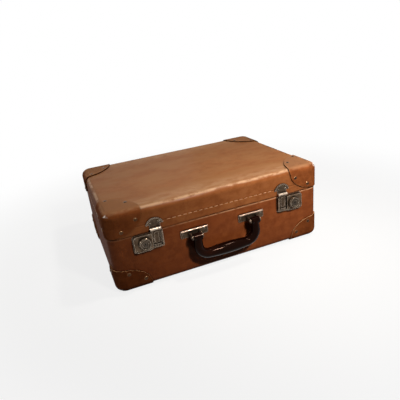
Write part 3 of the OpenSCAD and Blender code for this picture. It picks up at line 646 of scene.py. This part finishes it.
def add_capsule(mesh, centre, along, out):
    """One stitch: a short thread with round ends, lying along one direction."""
    across = out.cross(along)
    half_run = STITCH_LENGTH / 2 - STITCH_R
    middle_ring = STITCH_RINGS // 2
    rows = []
    for ring in range(STITCH_RINGS):
        turn = math.pi * ring / (STITCH_RINGS - 1)
        forward = -math.cos(turn) * STITCH_R
        if ring != middle_ring:
            forward += math.copysign(half_run, forward)
        radius = max(math.sin(turn), STITCH_TIP) * STITCH_R
        row = []
        for spoke in range(STITCH_SPOKES):
            angle = 2 * math.pi * spoke / STITCH_SPOKES
            offset = across * math.cos(angle) + out * math.sin(angle)
            row.append(mesh.verts.new(centre + along * forward + offset * radius))
        rows.append(row)
    for first, second in zip(rows, rows[1:]):
        for spoke in range(STITCH_SPOKES):
            after = (spoke + 1) % STITCH_SPOKES
            mesh.faces.new((first[spoke], first[after], second[after], second[spoke]))
    mesh.faces.new(reversed(rows[0]))
    mesh.faces.new(rows[-1])


def stitch_row(mesh, start, end, out, covered=None):
    """Stitches along a straight run, left out where a fitting covers it on either side of the middle."""
    run = end - start
    along = run.normalized()
    count = int(run.length / STITCH_PITCH)
    margin = (run.length - count * STITCH_PITCH) / 2
    for index in range(count + 1):
        centre = start + along * (margin + index * STITCH_PITCH)
        if covered and covered[0] < abs(centre.x) < covered[1]:
            continue
        add_capsule(mesh, centre - out * STITCH_SINK, along, out)


def make_stitches():
    """The row of stitches that holds the lid's hoop, on all four sides, between the caps and the hasps."""
    cap_low, cap_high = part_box("lid_cap_front_right")
    leaf_low, leaf_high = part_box("hinge_lid_leaf_right")
    hasp_low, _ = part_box("hasp_plate_right")
    drop = (lid_high[2] - stitch_z) / (lid_high[2] - cap_low[2])
    lobe_share = (1 - drop**LOBE_FULLNESS) ** (1 / LOBE_FULLNESS)
    reach_x = (lid_high[0] - cap_low[0]) * lobe_share + STITCH_LENGTH
    reach_y = (cap_high[1] - lid_low[1]) * lobe_share + STITCH_LENGTH
    off = STITCH_LENGTH / 2 + STITCH_CLEAR
    front_end = hasp_low[0] - off
    leaf_span = leaf_low[0] - off, leaf_high[0] + off
    left, right = lid_low[0], lid_high[0]
    front, back = lid_low[1], lid_high[1]

    def at(x, y):
        return Vector((x, y, stitch_z))

    mesh = bmesh.new()
    stitch_row(mesh, at(-front_end, front), at(front_end, front), Vector((0, -1, 0)))
    stitch_row(mesh, at(right - reach_x, back), at(left + reach_x, back), Vector((0, 1, 0)), leaf_span)
    stitch_row(mesh, at(right, front + reach_y), at(right, back - reach_y), Vector((1, 0, 0)))
    stitch_row(mesh, at(left, back - reach_y), at(left, front + reach_y), Vector((-1, 0, 0)))
    bmesh.ops.recalc_face_normals(mesh, faces=mesh.faces)
    stitches = add_object("lid_stitches", mesh, thread_material())
    stitches.data.shade_smooth()
    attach(stitches, "lid")


def make_floor():
    mesh = bmesh.new()
    bmesh.ops.create_circle(mesh, cap_ends=True, radius=FLOOR_RADIUS, segments=FLOOR_SEGMENTS)
    floor = add_object("floor", mesh, floor_material())


def make_world():
    """White for the rays that show it, and a dim even fill for the light on the object."""
    world = bpy.data.worlds.new("studio")
    world.use_nodes = True
    bpy.context.scene.world = world
    nodes = Nodes(world.node_tree)
    background = nodes.tree.nodes["Background"]
    nodes.put(background.inputs["Color"], WHITE)
    nodes.put(background.inputs["Strength"], nodes.scaled(nodes.showing_rays(), WORLD_FILL, 1.0))


def add_light(name, place, aim, size, power, colour, beam=math.pi):
    """A square lamp: its places and size are in metres, its power in watts."""
    data = bpy.data.lights.new(name, "AREA")
    data.shape = "SQUARE"
    data.size = size
    data.energy = power
    data.color = colour
    data.spread = beam
    light = bpy.data.objects.new(name, data)
    light.location = place
    light.rotation_euler = (Vector(aim) - Vector(place)).to_track_quat("-Z", "Y").to_euler()
    bpy.context.scene.collection.objects.link(light)


def make_lights():
    """A key lamp in front and one overhead, with fill from behind and from both ends."""
    add_light(
        "key", place=(0.17, -0.75, 0.7), aim=(0.19, -0.1, 0.1), size=0.1, power=1.25,
        colour=(1.0, 0.95, 0.88), beam=math.radians(64),
    )
    add_light(
        "overhead", place=(0.34, -0.2, 0.95), aim=(-0.15, 0.0, 0.1), size=0.09, power=0.61,
        colour=(1.0, 0.96, 0.9), beam=math.radians(80),
    )
    add_light(
        "behind", place=(-0.2, 1.5, 0.5), aim=(0.0, 0.1, 0.08), size=1.5, power=8.0,
        colour=(1.0, 0.97, 0.93),
    )
    add_light(
        "left", place=(-1.3, -0.05, 0.6), aim=(-0.15, 0.0, 0.08), size=0.25, power=2.6,
        colour=(1.0, 0.98, 0.95),
    )
    add_light(
        "right", place=(1.3, 0.4, 0.5), aim=(0.15, 0.0, 0.08), size=0.6, power=3.6,
        colour=(1.0, 0.98, 0.95),
    )


def make_camera():
    """The camera at the photo's angle, turned about its own axis by the photo's tilt."""
    back = Vector((
        math.sin(CAMERA_AZIMUTH) * math.cos(CAMERA_ELEVATION),
        -math.cos(CAMERA_AZIMUTH) * math.cos(CAMERA_ELEVATION),
        math.sin(CAMERA_ELEVATION),
    ))
    level = (-back).cross(Vector((0, 0, 1))).normalized()
    upright = back.cross(level)
    right = level * math.cos(CAMERA_ROLL) + upright * math.sin(CAMERA_ROLL)
    up = back.cross(right)
    data = bpy.data.cameras.new("camera")
    data.sensor_width = SENSOR_W
    data.lens = CAMERA_LENS
    camera = bpy.data.objects.new("camera", data)
    turn = Matrix((right, up, back)).transposed().to_4x4()
    camera.matrix_world = Matrix.Translation(LOOK_AT + back * CAMERA_DISTANCE) @ turn
    bpy.context.scene.collection.objects.link(camera)
    bpy.context.scene.camera = camera


dress_leather()
dress_inside()
dress_fittings()
make_stitches()
make_floor()
make_world()
make_lights()
make_camera()
bpy.context.scene.view_settings.view_transform = "Standard"
